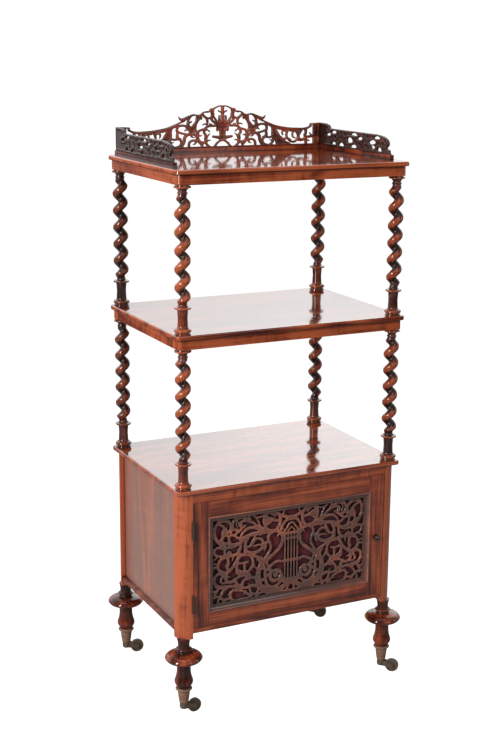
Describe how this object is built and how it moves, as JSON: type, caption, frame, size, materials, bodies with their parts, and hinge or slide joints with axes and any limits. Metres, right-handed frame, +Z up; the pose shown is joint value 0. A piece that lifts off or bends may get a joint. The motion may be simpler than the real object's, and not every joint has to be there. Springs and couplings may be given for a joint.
{
  "type": "etagere",
  "caption": "Tall display stand with open shelves on rope-twist columns over a small cupboard with a pierced door, on castors.",
  "frame": {"origin": "on the floor, midway between the four legs", "axes": "+Z up, +X to the right of somebody facing the door, +Y to the back"},
  "size_m": [0.6006, 0.4366, 1.3225],
  "materials": {
    "castor_brass": "dark tarnished brass, worn bright on the edges",
    "hinge_brass": "aged brass, satin",
    "catch_brass": "aged brass, satin",
    "foot_wood": "turned rosewood, high gloss French polish",
    "post_wood": "rosewood with upright grain, gloss French polish",
    "board_wood": "figured rosewood, mirror gloss French polish",
    "frieze_wood": "flame-figured rosewood, gloss French polish",
    "column_wood": "turned rosewood, gloss French polish",
    "gallery_wood": "dark pierced rosewood, satin gloss",
    "panel_wood": "rosewood, gloss French polish",
    "back_wood": "plain stained softwood, matte",
    "fret_wood": "pierced and carved rosewood, satin",
    "door_wood": "dark rosewood, gloss French polish",
    "knob_wood": "ebonised turned wood, gloss",
    "cloth": "burgundy cotton velvet, plain stretched"
  },
  "bodies": {
    "carcass": {"back_panel": "back_wood", "cabinet_floor_board": "board_wood", "cabinet_front_rail": "frieze_wood", "cabinet_top_board": "board_wood", "castor_cup_back_left": "castor_brass", "castor_cup_back_right": "castor_brass", "castor_cup_front_left": "castor_brass", "castor_cup_front_right": "castor_brass", "foot_back_left": "foot_wood", "foot_back_right": "foot_wood", "foot_front_left": "foot_wood", "foot_front_right": "foot_wood", "gallery_back": "gallery_wood", "gallery_left": "gallery_wood", "gallery_right": "gallery_wood", "gallery_strip_back": "gallery_wood", "gallery_strip_left": "gallery_wood", "gallery_strip_right": "gallery_wood", "hinge_pins": "hinge_brass", "hinge_post_leaves": "hinge_brass", "lower_column_back_left": "column_wood", "lower_column_back_right": "column_wood", "lower_column_front_left": "column_wood", "lower_column_front_right": "column_wood", "middle_board": "board_wood", "middle_frieze_back": "frieze_wood", "middle_frieze_front": "frieze_wood", "middle_frieze_sides": "frieze_wood", "post_back_left": "post_wood", "post_back_right": "post_wood", "post_front_left": "post_wood", "post_front_right": "post_wood", "side_panel_left": "panel_wood", "side_panel_right": "panel_wood", "top_board": "board_wood", "top_frieze_back": "frieze_wood", "top_frieze_front": "frieze_wood", "top_frieze_sides": "frieze_wood", "upper_column_back_left": "column_wood", "upper_column_back_right": "column_wood", "upper_column_front_left": "column_wood", "upper_column_front_right": "column_wood"},
    "door": {"door_bottom_rail": "door_wood", "door_cloth": "cloth", "door_fret": "fret_wood", "door_hinge_stile": "door_wood", "door_lock_stile": "door_wood", "door_moulding": "door_wood", "door_top_rail": "door_wood", "hinge_door_leaves": "hinge_brass"},
    "door_latch": {"door_knob": "knob_wood", "door_catch": "catch_brass"},
    "castor_swivel_front_left": {"castor_horn_front_left": "castor_brass"},
    "castor_wheel_body_front_left": {"castor_wheel_front_left": "castor_brass"},
    "castor_swivel_front_right": {"castor_horn_front_right": "castor_brass"},
    "castor_wheel_body_front_right": {"castor_wheel_front_right": "castor_brass"},
    "castor_swivel_back_left": {"castor_horn_back_left": "castor_brass"},
    "castor_wheel_body_back_left": {"castor_wheel_back_left": "castor_brass"},
    "castor_swivel_back_right": {"castor_horn_back_right": "castor_brass"},
    "castor_wheel_body_back_right": {"castor_wheel_back_right": "castor_brass"}
  },
  "joints": [
    {"name": "door_hinge", "type": "hinge", "parent": "carcass", "child": "door", "pos_m": [-0.24165, -0.1946, 0.353], "axis": [0, 0, -1], "range_deg": [0, 170]},
    {"name": "latch_turn", "type": "hinge", "parent": "door", "child": "door_latch", "pos_m": [0.2223, -0.1825, 0.35], "axis": [0, 1, 0], "range_deg": [0, 90]},
    {"name": "swivel_front_left", "type": "hinge", "parent": "carcass", "child": "castor_swivel_front_left", "pos_m": [-0.258, -0.176, 0.032], "axis": [0, 0, 1], "continuous": true},
    {"name": "roll_front_left", "type": "hinge", "parent": "castor_swivel_front_left", "child": "castor_wheel_body_front_left", "pos_m": [-0.23156, -0.17415, 0.0159], "axis": [-0.0698, 0.9976, 0], "continuous": true},
    {"name": "swivel_front_right", "type": "hinge", "parent": "carcass", "child": "castor_swivel_front_right", "pos_m": [0.258, -0.176, 0.032], "axis": [0, 0, 1], "continuous": true},
    {"name": "roll_front_right", "type": "hinge", "parent": "castor_swivel_front_right", "child": "castor_wheel_body_front_right", "pos_m": [0.27888, -0.19232, 0.0159], "axis": [0.6157, 0.788, 0], "continuous": true},
    {"name": "swivel_back_left", "type": "hinge", "parent": "carcass", "child": "castor_swivel_back_left", "pos_m": [-0.258, 0.176, 0.032], "axis": [0, 0, 1], "continuous": true},
    {"name": "roll_back_left", "type": "hinge", "parent": "castor_swivel_back_left", "child": "castor_wheel_body_back_left", "pos_m": [-0.2319, 0.1714, 0.0159], "axis": [0.1736, 0.9848, 0], "continuous": true},
    {"name": "swivel_back_right", "type": "hinge", "parent": "carcass", "child": "castor_swivel_back_right", "pos_m": [0.258, 0.176, 0.032], "axis": [0, 0, 1], "continuous": true},
    {"name": "roll_back_right", "type": "hinge", "parent": "castor_swivel_back_right", "child": "castor_wheel_body_back_right", "pos_m": [0.27888, 0.15968, 0.0159], "axis": [0.6157, 0.788, 0], "continuous": true}
  ]
}
